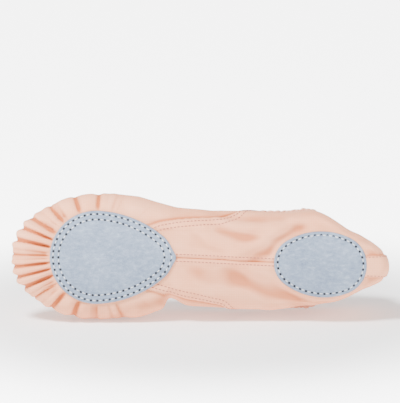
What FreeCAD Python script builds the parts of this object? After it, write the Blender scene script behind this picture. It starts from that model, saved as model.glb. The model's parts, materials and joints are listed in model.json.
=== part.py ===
import FreeCAD, Part
import math
import os

import Sketcher
from FreeCAD import Placement, Rotation, Vector

# Canvas split-sole ballet slipper, lying on its side as it is put down.
# The slipper's own axes, used by every piece before it is set down:
#   X along the foot from the toe (0) to the heel, Y into the shoe from the sole's face, Z across.
# The hinge of the arch lies on the sole's face, just behind the forefoot patch.

SIZES = {
    "shoe_length": 235.0,
    "forefoot_width": 79.0,
    "waist_width": 60.5,
    "heel_end_width": 15.0,
    "shoe_depth": 44.0,
    "edge_round": 10.0,
    "heel_edge_round": 4.5,
    "dome_start": 12.0,
    "bulb_place": 58.0,
    "waist_place": 105.0,
    "taper_place": 190.0,
    "throat_front": 85.0,
    "heel_lean": 12.0,
    "throat_flare": 0.5,
    "canvas_thickness": 1.0,
    "lining_thickness": 0.7,
    "strip_width": 13.0,
    "strip_thickness": 0.8,
    "patch_thickness": 1.4,
    "forefoot_patch_front": 24.4,
    "forefoot_patch_rear": 101.2,
    "forefoot_patch_front_radius": 28.6,
    "forefoot_patch_rear_radius": 17.0,
    "forefoot_patch_side_radius": 70.0,
    "heel_patch_front": 164.0,
    "heel_patch_rear": 222.0,
    "heel_patch_front_radius": 15.5,
    "heel_patch_rear_radius": 18.5,
    "heel_patch_side_radius": 42.0,
    "groove_width": 1.2,
    "groove_depth": 0.7,
    "insole_inset": 1.0,
    "pad_thickness": 2.5,
    "cover_thickness": 0.9,
    "binding_height": 6.0,
    "binding_thickness": 3.6,
    "throat_rear": 223.5,
    "throat_front_radius": 24.0,
    "throat_rear_radius": 9.5,
    "throat_side_radius": 155.0,
    "cord_diameter": 2.4,
    "cord_clearance": 0.25,
    "strap_width": 16.0,
    "strap_thickness": 1.0,
    "strap_rise": 10.0,
    "strap_half_span": 36.0,
    "strap_foot": 2.5,
    "strap_crossing": 160.0,
    "strap_angle": 52.0,
    "hinge_place": 107.0,
    "seam_slant": 56.0,
    "joint_gap": 0.8,
    "heel_yaw": 2.9,
    "lean_angle": 10.0,
    "ground_height": 41.51,
    "sole_setback": 25.98,
    "stitch_pitch": 3.9,
    "seam_stitch_pitch": 2.3,
}

doc = FreeCAD.newDocument("ballet_slipper")
sheet = doc.addObject("Spreadsheet::Sheet", "Sizes")
for row, (alias, value) in enumerate(SIZES.items(), start=1):
    sheet.set(f"A{row}", alias)
    sheet.set(f"B{row}", str(value))
    sheet.setAlias(f"B{row}", alias)
doc.recompute()


def size(alias):
    return float(sheet.get(alias))


LENGTH = size("shoe_length")
DEPTH = size("shoe_depth")
HINGE = size("hinge_place")
YAW = size("heel_yaw")
CANVAS = size("canvas_thickness")
LINING = CANVAS + size("lining_thickness")
REACH = 400.0

# The slipper leans back on its side until its sole faces slightly upward.
SET_DOWN = Placement(
    Vector(-(LENGTH + size("strip_thickness")) / 2, -size("sole_setback"), size("ground_height")),
    Rotation(Vector(1, 0, 0), -size("lean_angle")),
)
# Everything behind the hinge hangs a little lower than the forefoot.
HEEL_TURN = Placement(Vector(), Rotation(Vector(0, 1, 0), YAW), Vector(HINGE, 0, 0))

pieces = []


def finish(piece, label, placement=SET_DOWN):
    """Name a piece, set it down and put it on the list of pieces to write."""
    piece.Label = label
    piece.Placement = placement
    pieces.append(piece)
    return piece


# ---- Outer form ------------------------------------------------------------------------------


def smooth(value):
    value = min(max(value, 0.0), 1.0)
    return value * value * (3 - 2 * value)


def centre_line(x):
    """Height of the slipper's middle: straight to the hinge, then turned by the heel's yaw."""
    return -math.tan(math.radians(YAW)) * max(x - HINGE, 0.0)


def plan_half_width(x):
    """Half the slipper's width seen from the sole: round toe, waist, tapered heel."""
    bulb = size("bulb_place")
    broad = size("forefoot_width") / 2
    narrow = size("waist_width") / 2
    end = size("heel_end_width") / 2 + 2.0
    if x < bulb:
        return broad * math.sqrt(max(1 - (1 - x / bulb) ** 2, 0.0))
    blend = smooth((x - bulb) / (size("waist_place") - bulb))
    half = broad + (narrow - broad) * blend
    taper = max((x - size("taper_place")) / (LENGTH - size("taper_place")), 0.0)
    half += (end - narrow) * taper
    rounding = 8.0
    if x > LENGTH - rounding:
        half *= math.sqrt(max(1 - ((x - LENGTH + rounding) / rounding) ** 2, 0.0))
    return half


def dome_height(x):
    """How deep the upper reaches above the sole at x: the vamp's top, then an open throat."""
    start = size("dome_start")
    front = size("throat_front")
    rise = (DEPTH - start) * (max(x, 0.01) / front) ** 0.625
    opening = (DEPTH - start) * (max(x - front, 0.0) / 50.0) ** 1.2
    return start + rise + opening


def wall_point(share, depth, side):
    """A point of the wall: share runs 0 to 1 from toe to heel, side is +1 left or -1 right."""
    start = size("dome_start")
    climb = max(depth - start, 0.0) / (DEPTH - start)
    toe = size("throat_front") * climb**1.6
    heel = LENGTH - size("heel_lean") * climb**1.5
    x = toe + (heel - toe) * (1 - math.cos(math.pi * share)) / 2
    half = plan_half_width(min(x + (LENGTH - heel), LENGTH)) if x > heel - 30 else plan_half_width(x)
    if climb > 0:
        filled = (depth - start) / (dome_height(x) - start)
        half *= math.sqrt(max(1 - filled**2.2, 0.0))
        half += size("throat_flare") * climb * smooth((x - 100) / 30) * smooth((heel - x) / 30)
    return Vector(x, depth, centre_line(x) + side * half)


def outline(depth, inset, points_a_side=14):
    """The closed outline at a depth, moved in from the outer face by the inset."""
    radius = size("edge_round")
    base = max(depth, radius)
    ring = [(k / points_a_side, 1) for k in range(points_a_side)]
    ring += [(1 - k / points_a_side, -1) for k in range(points_a_side)]
    count = len(ring)
    here = [wall_point(share, base, side) for share, side in ring]
    above = [wall_point(share, base + 0.5, side) for share, side in ring]
    moved = []
    for k, point in enumerate(here):
        along = here[(k + 1) % count] - here[k - 1]
        inward = Vector(along.z, 0, -along.x).normalize()
        if depth < radius:
            amount = size("heel_edge_round") - radius
            amount = radius + amount * smooth((point.x - 140) / 60)
            curve = math.sqrt(max(1 - ((radius - depth) / (radius - inset)) ** 2, 0.0))
            shift = inset + (amount - inset) * (1 - curve)
        else:
            slope = (above[k] - point).dot(inward) / 0.5
            shift = inset * math.sqrt(1 + min(slope, 3.0) ** 2)
        moved.append(Vector(point.x, depth, point.z) + inward * shift)
    return moved


def form(inset):
    """The slipper as one closed solid, its outer face moved in by the inset."""
    radius = size("edge_round")
    depths = [inset + (radius - inset) * share for share in (0, 0.12, 0.35, 0.65, 1.0)]
    depths += [13, 16, 20, 25, 31, 37.5, DEPTH]
    wires = []
    for depth in depths:
        curve = Part.BSplineCurve()
        curve.interpolate(Points=outline(depth, inset), PeriodicFlag=True)
        wires.append(Part.Wire(curve.toShape()))
    return Part.makeLoft(wires, True, True)


def prism(points, flat):
    """A long prism: points are (x, y) pairs pushed along Z, or (x, z) pairs pushed along Y."""
    if flat:
        corners = [Vector(x, -REACH / 2, z) for x, z in points]
        push = Vector(0, REACH, 0)
    else:
        corners = [Vector(x, y, -REACH / 2) for x, y in points]
        push = Vector(0, 0, REACH)
    face = Part.Face(Part.makePolygon(corners + corners[:1]))
    return face.extrude(push)


# The joint is a plane through the hinge line, slanting back from the sole to the throat.
SLANT = math.radians(size("seam_slant"))
HALF_GAP = size("joint_gap") / 2
DROP = -20.0


def joint_side(behind):
    """Everything in front of the joint plane, or everything behind it."""
    shift = HALF_GAP / math.sin(SLANT) * (1 if behind else -1)
    far = REACH if behind else -REACH
    low = HINGE + shift
    high = low + REACH * math.cos(SLANT) / math.sin(SLANT)
    return prism([(far, DROP), (low, DROP), (low, 0), (high, REACH), (far, REACH)], flat=False)


FRONT_SIDE = joint_side(behind=False)
REAR_SIDE = joint_side(behind=True)
TURN_DROP = math.tan(math.radians(YAW)) * (REACH - HINGE)
LEFT_SIDE = prism([(0, 0), (HINGE, 0), (REACH, -TURN_DROP), (REACH, REACH), (0, REACH)], flat=True)
RIGHT_SIDE = prism([(0, 0), (HINGE, 0), (REACH, -TURN_DROP), (REACH, -REACH), (0, -REACH)], flat=True)


def add_shape(shape, label):
    """A sewn piece whose form comes from the slipper's lofted surface."""
    piece = doc.addObject("Part::Feature", label)
    piece.Shape = shape
    return finish(piece, label)


outer_form = form(0.0)
middle_form = form(CANVAS)
inner_form = form(LINING)
canvas = outer_form.cut(middle_form)
lining = middle_form.cut(inner_form)

add_shape(canvas.common(FRONT_SIDE), "vamp")
add_shape(lining.common(FRONT_SIDE), "vamp_lining")
rear_canvas = canvas.common(REAR_SIDE)
rear_lining = lining.common(REAR_SIDE)
add_shape(rear_canvas.common(LEFT_SIDE), "quarter_left")
add_shape(rear_canvas.common(RIGHT_SIDE), "quarter_right")
add_shape(rear_lining.common(LEFT_SIDE), "quarter_lining_left")
add_shape(rear_lining.common(RIGHT_SIDE), "quarter_lining_right")

# The back strip covers the quarters' closing seam, from the heel patch up to the throat.
strip_form = form(-size("strip_thickness")).cut(outer_form)
strip_slab = Part.makeBox(40, DEPTH - 3.5, size("strip_width"))
strip_slab.translate(Vector(LENGTH - 15, 3.0, centre_line(LENGTH) - size("strip_width") / 2))
add_shape(strip_form.common(strip_slab), "heel_back_strip")


# ---- Flat pieces: patches, pads and covers ---------------------------------------------------


def egg_arcs(front, rear, front_radius, rear_radius, side_radius):
    """Four tangent arcs of an egg: each is (centre x, centre z, radius, first, last angle)."""
    first = front + front_radius
    last = rear - rear_radius
    span = last - first
    near = side_radius - front_radius
    far = side_radius - rear_radius
    along = (near**2 - far**2 + span**2) / (2 * span)
    across = math.sqrt(near**2 - along**2)
    lean_front = math.atan2(across, -along)
    lean_rear = math.atan2(across, span - along)
    return [
        (first, 0.0, front_radius, lean_front, 2 * math.pi - lean_front),
        (first + along, across, side_radius, -lean_front, -lean_rear),
        (last, 0.0, rear_radius, -lean_rear, lean_rear),
        (first + along, -across, side_radius, lean_rear, lean_front),
    ]


EGG_ALIASES = ("front", "rear", "front_radius", "rear_radius", "side_radius")


def egg_sketch(body, name, level):
    """An empty sketch parallel to the sole's face, at a level inside the shoe."""
    sketch = body.newObject("Sketcher::SketchObject", name)
    plane = next(f for f in body.Origin.OriginFeatures if f.Role == "XZ_Plane")
    sketch.AttachmentSupport = [(plane, "")]
    sketch.MapMode = "FlatFace"
    sketch.AttachmentOffset = Placement(Vector(0, 0, -level), Rotation())
    return sketch


def add_egg(sketch, stem, grow, tag):
    """Draw an egg in the sketch, tie its arcs together and bind its sizes to the sheet."""
    values = [size(f"{stem}_{alias}") for alias in EGG_ALIASES]
    values = [values[0] - grow, values[1] + grow] + [value + grow for value in values[2:]]
    base = sketch.GeometryCount
    for centre_x, centre_z, radius, start, stop in egg_arcs(*values):
        circle = Part.Circle(Vector(centre_x, centre_z, 0), Vector(0, 0, 1), radius)
        sketch.addGeometry(Part.ArcOfCircle(circle, start, stop), False)
    for arc in range(4):
        ends = Sketcher.Constraint("Tangent", base + arc, 2, base + (arc + 1) % 4, 1)
        sketch.addConstraint(ends)
    sketch.addConstraint(Sketcher.Constraint("PointOnObject", base, 3, -1))
    sketch.addConstraint(Sketcher.Constraint("PointOnObject", base + 2, 3, -1))
    arcs = sketch.Geometry
    places = [
        ("first", 0, f"Sizes.{stem}_front + Sizes.{stem}_front_radius"),
        ("last", 2, f"Sizes.{stem}_rear - Sizes.{stem}_rear_radius"),
    ]
    for word, arc, rule in places:
        value = arcs[base + arc].Center.x
        index = sketch.addConstraint(Sketcher.Constraint("DistanceX", -1, 1, base + arc, 3, value))
        sketch.renameConstraint(index, f"{tag}_{word}")
        sketch.setExpression(f"Constraints.{tag}_{word}", rule)
    radii = [("front", 0, "front"), ("rear", 2, "rear"), ("left", 1, "side"), ("right", 3, "side")]
    for word, arc, alias in radii:
        value = arcs[base + arc].Radius
        index = sketch.addConstraint(Sketcher.Constraint("Radius", base + arc, value))
        sketch.renameConstraint(index, f"{tag}_{word}")
        rule = f"Sizes.{stem}_{alias}_radius + {grow:.3f}"
        sketch.setExpression(f"Constraints.{tag}_{word}", rule)


def flat_piece(label, stem, grow, level, thickness, placement, grooves=()):
    """A flat egg-shaped piece whose inner face lies at the level, thickness towards the sole."""
    body = doc.addObject("PartDesign::Body", label)
    sketch = egg_sketch(body, f"{label}_outline", level)
    add_egg(sketch, stem, grow, "egg")
    pad = body.newObject("PartDesign::Pad", f"{label}_pad")
    pad.Profile = sketch
    pad.setExpression("Length", thickness)
    doc.recompute()
    for number, inset in enumerate(grooves):
        before = body.Shape.Volume
        ring = egg_sketch(body, f"{label}_groove_{number}_outline", level - pad.Length.Value)
        add_egg(ring, stem, GROOVE_WIDTH / 2 - inset, "outer")
        add_egg(ring, stem, -GROOVE_WIDTH / 2 - inset, "inner")
        pocket = body.newObject("PartDesign::Pocket", f"{label}_groove_{number}")
        pocket.Profile = ring
        pocket.setExpression("Length", "Sizes.groove_depth")
        doc.recompute()
        if body.Shape.Volume > before - 1:
            raise RuntimeError(f"groove {number} of {label} cut nothing")
    return finish(body, label, placement)


GROOVE_WIDTH = size("groove_width")
FOREFOOT_ROWS = (1.9, 5.2)
HEEL_ROWS = (2.2,)
PAD_TOP = LINING + size("pad_thickness")
COVER_TOP = PAD_TOP + size("cover_thickness")
SHRINK = -size("insole_inset")
REAR_DOWN = SET_DOWN * HEEL_TURN
for name, stem, down, rows in (
    ("forefoot", "forefoot_patch", SET_DOWN, FOREFOOT_ROWS),
    ("heel", "heel_patch", REAR_DOWN, HEEL_ROWS),
):
    flat_piece(f"{name}_sole_patch", stem, 0.0, 0.0, "Sizes.patch_thickness", down, rows)
    flat_piece(f"{name}_insole_pad", stem, 2 * SHRINK, PAD_TOP, "Sizes.pad_thickness", down)
    flat_piece(f"{name}_insole_cover", stem, SHRINK, COVER_TOP, "Sizes.cover_thickness", down)


# ---- Throat: binding and drawcord ------------------------------------------------------------

throat = egg_arcs(
    size("throat_front") + 1.2,
    size("throat_rear"),
    size("throat_front_radius"),
    size("throat_rear_radius"),
    size("throat_side_radius"),
)
CORD_LEVEL = DEPTH + size("binding_height") / 2


def throat_wire(grow, level):
    """The throat's closed line of arcs, moved out by grow, at a level above the sole."""
    edges = []
    for centre_x, centre_z, radius, start, stop in throat:
        reach = radius + grow
        ends = []
        for angle in (start, (start + stop) / 2, stop):
            ends.append(
                Vector(centre_x + reach * math.cos(angle), level, centre_z + reach * math.sin(angle))
            )
        edges.append(Part.Arc(*ends).toShape())
    return Part.Wire(Part.__sortEdges__(edges))


def throat_tube(diameter):
    """A round tube along the whole throat line."""
    path = throat_wire(0.0, CORD_LEVEL)
    start = path.Edges[0].valueAt(path.Edges[0].FirstParameter)
    heading = path.Edges[0].tangentAt(path.Edges[0].FirstParameter)
    ring = Part.Wire(Part.Circle(start, heading, diameter / 2).toShape())
    return path.makePipeShell([ring], True, True)


half_wall = size("binding_thickness") / 2
ring_outer = Part.Face(throat_wire(half_wall, DEPTH)).extrude(Vector(0, size("binding_height"), 0))
ring_inner = Part.Face(throat_wire(-half_wall, DEPTH)).extrude(Vector(0, size("binding_height"), 0))
channel = throat_tube(size("cord_diameter") + 2 * size("cord_clearance"))
binding = ring_outer.cut(ring_inner).cut(channel)
for label, side in (("throat_binding_front", FRONT_SIDE), ("throat_binding_rear", REAR_SIDE)):
    piece = doc.addObject("Part::Feature", label)
    turned = binding.copy()
    turned.Placement = HEEL_TURN.multiply(turned.Placement)
    piece.Shape = turned.common(side)
    finish(piece, label)
cord = doc.addObject("Part::Feature", "elastic_drawcord")
cord.Shape = throat_tube(size("cord_diameter"))
finish(cord, "elastic_drawcord", REAR_DOWN)


# ---- Crossed elastic straps ------------------------------------------------------------------


STRAP_CLEARANCE = 0.2
STRAP_LAP = 1.6


def strap(label, turn, extra):
    """A shallow arched band across the throat, trimmed to end just inside the binding."""
    rise = size("strap_rise") + extra
    half_span = size("strap_half_span")
    radius = (half_span**2 + rise**2) / (2 * rise)
    crown = DEPTH + size("strap_foot") + rise
    centre = Vector(0, crown - radius, -size("strap_width") / 2)
    thick = size("strap_thickness")
    band = Part.makeCylinder(radius, size("strap_width"), centre, Vector(0, 0, 1))
    band = band.cut(Part.makeCylinder(radius - thick, size("strap_width"), centre, Vector(0, 0, 1)))
    band.rotate(Vector(), Vector(0, 1, 0), turn)
    band.translate(Vector(size("strap_crossing"), 0, 0))
    room = Part.Face(throat_wire(-half_wall - STRAP_CLEARANCE, DEPTH + STRAP_CLEARANCE))
    room = room.extrude(Vector(0, REACH, 0))
    piece = doc.addObject("Part::Feature", label)
    piece.Shape = band.common(room)
    return finish(piece, label, REAR_DOWN)


strap("elastic_strap_under", size("strap_angle"), 0.0)
strap("elastic_strap_over", -size("strap_angle"), STRAP_LAP)


# ---- Stitches: groups of short flat threads --------------------------------------------------

STITCH_LENGTH = 2.3
THREAD = 0.5


def stitch(point, heading, outward, length):
    """One thread on the surface at the point, lying along the heading."""
    across = heading.cross(outward).normalize()
    block = Part.makeBox(length, THREAD, THREAD, Vector(-length / 2, -THREAD / 2, 0.03))
    turn = Rotation(heading.normalize(), across.negative(), outward.normalize(), "XZY")
    block.Placement = Placement(point, turn)
    return block


def add_stitches(label, blocks, placement=SET_DOWN):
    piece = doc.addObject("Part::Feature", label)
    piece.Shape = Part.makeCompound(blocks)
    return finish(piece, label, placement)


def egg_row(stem, inset, level, pitch):
    """Stitches along an egg outline moved in by the inset, on the patch's outer face."""
    values = [size(f"{stem}_{alias}") for alias in EGG_ALIASES]
    values = [values[0] + inset, values[1] - inset] + [value - inset for value in values[2:]]
    blocks = []
    for centre_x, centre_z, radius, start, stop in egg_arcs(*values):
        count = max(round(radius * abs(stop - start) / pitch), 1)
        for k in range(count):
            angle = start + (stop - start) * (k + 0.5) / count
            place = Vector(
                centre_x + radius * math.cos(angle), -level, centre_z + radius * math.sin(angle)
            )
            heading = Vector(-math.sin(angle), 0, math.cos(angle))
            blocks.append(stitch(place, heading, Vector(0, -1, 0), STITCH_LENGTH))
    return blocks


GROOVE_FLOOR = size("patch_thickness") - size("groove_depth")
PITCH = size("stitch_pitch")
for label, inset in zip(("outer", "inner"), FOREFOOT_ROWS):
    threads = egg_row("forefoot_patch", inset, GROOVE_FLOOR, PITCH)
    add_stitches(f"forefoot_patch_{label}_stitches", threads)
add_stitches("heel_patch_stitches", egg_row("heel_patch", HEEL_ROWS[0], GROOVE_FLOOR, PITCH), REAR_DOWN)

SEAM_PITCH = size("seam_stitch_pitch")
SEAM_STITCH = 1.5
arch_start = HINGE + 2
arch_count = int((size("heel_patch_front") - arch_start - 1) / SEAM_PITCH)
for name, offset in (("left", 2.9), ("right", -2.9)):
    row = []
    for k in range(arch_count):
        place = Vector(arch_start + (k + 0.5) * SEAM_PITCH, 0, offset)
        row.append(stitch(place, Vector(1, 0, 0), Vector(0, -1, 0), SEAM_STITCH))
    add_stitches(f"arch_seam_stitches_{name}", row, REAR_DOWN)


def wall_row(solid, starts, outward, lift):
    """Stitches on a curved wall, each at the wall's point nearest to a start outside it."""
    blocks = []
    for k in range(len(starts) - 1):
        middle = (starts[k] + starts[k + 1]) / 2
        gap, pairs, _ = solid.distToShape(Part.Vertex(middle))
        foot = pairs[0][0]
        normal = (middle - foot).normalize() if gap > 0.01 else outward
        heading = starts[k + 1] - starts[k]
        heading = heading - normal * heading.dot(normal)
        blocks.append(stitch(foot + normal * lift, heading, normal, SEAM_STITCH))
    return blocks


# Two rows run up each wall of the vamp, just in front of the joint plane.
for name, side in (("left", 1), ("right", -1)):
    rows = []
    for back in (2.0, 5.0):
        starts = []
        for k in range(13):
            depth = 10 + k * SEAM_PITCH
            place = HINGE + depth * math.cos(SLANT) / math.sin(SLANT) - back
            starts.append(Vector(place, depth, side * (plan_half_width(place) + 4)))
        rows += wall_row(outer_form, starts, Vector(0, 0, side), 0.02)
    add_stitches(f"vamp_seam_stitches_{name}", rows)

# A row runs up each edge of the heel's back strip.
strip_rows = []
strip_outer = form(-size("strip_thickness"))
for edge in (-1, 1):
    starts = []
    for k in range(14):
        height = centre_line(LENGTH) + edge * (size("strip_width") / 2 - 1.5)
        starts.append(Vector(LENGTH + 6, 7 + k * SEAM_PITCH, height))
    strip_rows += wall_row(strip_outer, starts, Vector(1, 0, 0), 0.02)
add_stitches("back_strip_stitches", strip_rows)


# ---- Check every piece, then write it --------------------------------------------------------

doc.recompute()
for item in doc.Objects:
    if {"Invalid", "Error"} & set(item.State):
        raise RuntimeError(f"{item.Label} did not build: {item.State}")
os.makedirs("parts", exist_ok=True)
for piece in pieces:
    shape = piece.Shape
    if shape.isNull() or not shape.isValid() or not shape.Solids:
        raise RuntimeError(f"{piece.Label} is not a valid solid")
    box = shape.optimalBoundingBox(False)
    print(
        f"{piece.Label}: {len(shape.Solids)} solids, {shape.Volume:.0f} mm3, "
        f"x {box.XMin:.2f}..{box.XMax:.2f}, y {box.YMin:.2f}..{box.YMax:.2f}, "
        f"z {box.ZMin:.2f}..{box.ZMax:.2f}"
    )
    shape.exportStep(os.path.join("parts", f"{piece.Label}.step"))
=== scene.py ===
import json
import math

import bmesh
import bpy
import numpy as np
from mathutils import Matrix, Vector
from mathutils.kdtree import KDTree


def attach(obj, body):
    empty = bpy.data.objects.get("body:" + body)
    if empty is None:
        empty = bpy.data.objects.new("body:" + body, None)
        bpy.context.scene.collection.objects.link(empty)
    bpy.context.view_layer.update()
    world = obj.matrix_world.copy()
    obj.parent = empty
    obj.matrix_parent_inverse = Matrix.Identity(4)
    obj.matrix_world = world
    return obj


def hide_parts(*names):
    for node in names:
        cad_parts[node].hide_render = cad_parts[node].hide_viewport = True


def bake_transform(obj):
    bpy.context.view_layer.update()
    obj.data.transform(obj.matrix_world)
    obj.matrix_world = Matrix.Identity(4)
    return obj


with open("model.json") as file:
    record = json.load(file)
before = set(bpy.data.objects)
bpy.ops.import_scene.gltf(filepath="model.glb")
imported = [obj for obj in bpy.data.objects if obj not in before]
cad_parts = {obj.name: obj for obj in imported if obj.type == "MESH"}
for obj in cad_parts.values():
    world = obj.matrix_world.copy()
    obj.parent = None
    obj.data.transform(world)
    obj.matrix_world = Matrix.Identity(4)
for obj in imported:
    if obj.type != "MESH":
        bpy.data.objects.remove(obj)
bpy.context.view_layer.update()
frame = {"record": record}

# A canvas split-sole ballet slipper lying on its side. Everything is worked out in the slipper's
# own axes, in millimetres: x along the foot from the toe, d into the shoe from the sole, w across.
# place() sets those points down in the frame, in metres.

MM = 0.001
LENGTH = 235.0
DEPTH = 44.0
EDGE_ROUND = 10.0
HEEL_EDGE_ROUND = 4.5
HEEL_LEAN = 12.0
DOME_START = 12.0
HINGE = 107.0
LEAN = math.radians(10.0)
YAW_SLOPE = math.tan(math.radians(2.9))
THROAT_FRONT = 85.0
CANVAS_THICKNESS = 0.9
LINING_OUTSIDE = 1.7
LINING_INSIDE = 2.2
PATCH_THICKNESS = 1.4
PATCH_EDGE = 0.55
PATCH_TIP = 1.8
STRIP_HALF = 6.9
PATCH_PITCH = 3.9
SEAM_PITCH = 2.3
FOREFOOT_ROWS = (2.0, 5.4)
HEEL_ROWS = (2.3,)

hinge_pos = next(j for j in frame["record"]["behaviour"]["joints"] if j["name"] == "arch_flex")["pos_m"]


def place(x, d, w):
    """Points in the slipper's own axes, set down in the frame."""
    x, d, w = np.broadcast_arrays(np.asarray(x, float), np.asarray(d, float), np.asarray(w, float))
    out = np.empty(x.shape + (3,))
    out[..., 0] = hinge_pos[0] + (x - HINGE) * MM
    out[..., 1] = hinge_pos[1] + (w * math.sin(LEAN) + d * math.cos(LEAN)) * MM
    out[..., 2] = hinge_pos[2] + (w * math.cos(LEAN) - d * math.sin(LEAN)) * MM
    return out


# ---- Outer form ----


def smooth(value):
    """An eased step from 0 to 1."""
    value = np.clip(value, 0.0, 1.0)
    return value * value * (3 - 2 * value)


def centre_line(x):
    """The slipper's middle: straight to the arch, then the heel hangs a little lower."""
    past = np.maximum(x - 95.0, 0.0)
    drop = YAW_SLOPE * (past - 6.0 * (1 - np.exp(-past / 12)))
    heel_bulge = np.exp(-(((x - 220) / 9) ** 2))
    return heel_bulge + 0.9 * smooth((x - 205) / 30) - drop


PLAN = np.array(
    [
        (0.0, 0.0), (0.6, 6.0), (2.6, 12.6), (6.4, 18.4), (13.0, 25.4), (20.8, 30.6), (29.0, 34.6),
        (39.5, 37.8), (51.0, 39.3), (65.0, 39.4), (80.0, 37.4), (92.0, 33.6), (103.0, 31.0),
        (118.0, 30.4), (150.0, 30.6), (175.0, 30.2), (189.0, 28.6), (199.0, 25.6), (208.0, 22.3),
        (217.0, 18.4), (225.0, 14.2), (231.0, 10.0), (234.0, 5.3), (235.0, 0.0),
    ]
)
TOE_REACH = 58.0
TOE_HALF = 39.4
HEEL_TIP_RADIUS = 14.5


def toe_tip(x):
    """Half the width of the blunt toe's end."""
    return TOE_HALF * np.sqrt(np.clip(1 - np.abs(1 - x / TOE_REACH) ** 2.2, 0, 1))


def heel_tip(x):
    """Half the width of the heel's round end."""
    return np.sqrt(np.clip(HEEL_TIP_RADIUS**2 - (x - LENGTH + HEEL_TIP_RADIUS) ** 2, 0, None))


def smoothed_plan(samples=1200, passes=60):
    """The plan's half width on a fine grid, its corners eased but its two ends kept."""
    grid = np.linspace(0, LENGTH, samples)
    half = np.interp(grid, PLAN[:, 0], PLAN[:, 1])
    half = np.where(grid < 16, toe_tip(grid), half)
    half = np.where(grid > 231, heel_tip(grid), half)
    kept = half.copy()
    for _ in range(passes):
        half[1:-1] = (half[:-2] + 2 * half[1:-1] + half[2:]) / 4
    ends = smooth((grid - 2) / 14) * smooth((LENGTH - 1.0 - grid) / 8)
    return grid, kept + (half - kept) * ends


PLAN_X, PLAN_HALF = smoothed_plan()


def half_width(x):
    """Half the slipper's width seen from the sole."""
    half = np.interp(x, PLAN_X, PLAN_HALF)
    half = np.where(x < 3, toe_tip(x), half)
    return np.where(x > 232.5, heel_tip(x), half)


def dome_height(x):
    """How deep the upper reaches at x: the vamp's top, then past the open throat."""
    rise = (DEPTH - DOME_START) * (np.maximum(x, 0.01) / THROAT_FRONT) ** 0.625
    opening = (DEPTH - DOME_START) * (np.maximum(x - THROAT_FRONT, 0.0) / 50.0) ** 1.2
    return DOME_START + rise + opening


def wall(share, depth, side):
    """A point of the upper: share 0 to 1 from toe to heel, at a depth, on one side."""
    climb = np.maximum(depth - DOME_START, 0.0) / (DEPTH - DOME_START)
    toe = THROAT_FRONT * climb**1.6
    heel = LENGTH - HEEL_LEAN * climb**1.5
    x = toe + (heel - toe) * share
    near_heel = smooth((x - (heel - 40)) / 20)
    half = half_width(np.minimum(x + (LENGTH - heel) * near_heel, LENGTH))
    filled = np.clip((depth - DOME_START) / (dome_height(x) - DOME_START), 0, 1)
    domed = half * np.sqrt(np.maximum(1 - filled**2.2, 0.0))
    half = np.where(climb > 0, domed, half)
    return x, centre_line(x) + side * half


def even_shares(count):
    """Shares that space the columns evenly round the widest outline, from toe to heel."""
    fine = (1 - np.cos(np.linspace(0, math.pi, 4000))) / 2
    x, w = wall(fine, 12.0, 1)
    along = np.concatenate([[0], np.cumsum(np.hypot(np.diff(x), np.diff(w)))])
    return np.interp(np.linspace(0, along[-1], count), along, fine)


COLUMNS_A_SIDE = 340
SHARES = even_shares(COLUMNS_A_SIDE + 1)
RING_SHARE = np.concatenate([SHARES[:-1], SHARES[:0:-1]])
RING_SIDE = np.concatenate([np.ones(COLUMNS_A_SIDE), -np.ones(COLUMNS_A_SIDE)])
RING_SIDE[0] = 1.0
COLUMNS = 2 * COLUMNS_A_SIDE

SOLE_ROWS = 30
EDGE_ROWS = 18
WALL_ROWS = 72
SPINE_FRONT = 52.4
SPINE_REAR = 205.0


def top_depth(x):
    """The side profile of the throat's edge: low beside the arch, high at the heel."""
    dip = 5.5 * np.exp(-(((x - 140) / 34) ** 2))
    return 42.0 - dip + 5.0 * smooth((x - 175) / 45)


def raise_profile(x, d):
    """Depths above the sole's edge, scaled so that the top row follows the throat's edge."""
    scale = (top_depth(x) - DOME_START) / (DEPTH - DOME_START)
    blend = smooth((x - 60) / 40)
    scale = 1 + (scale - 1) * blend
    return np.where(d > DOME_START, DOME_START + (d - DOME_START) * scale, d)


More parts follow.
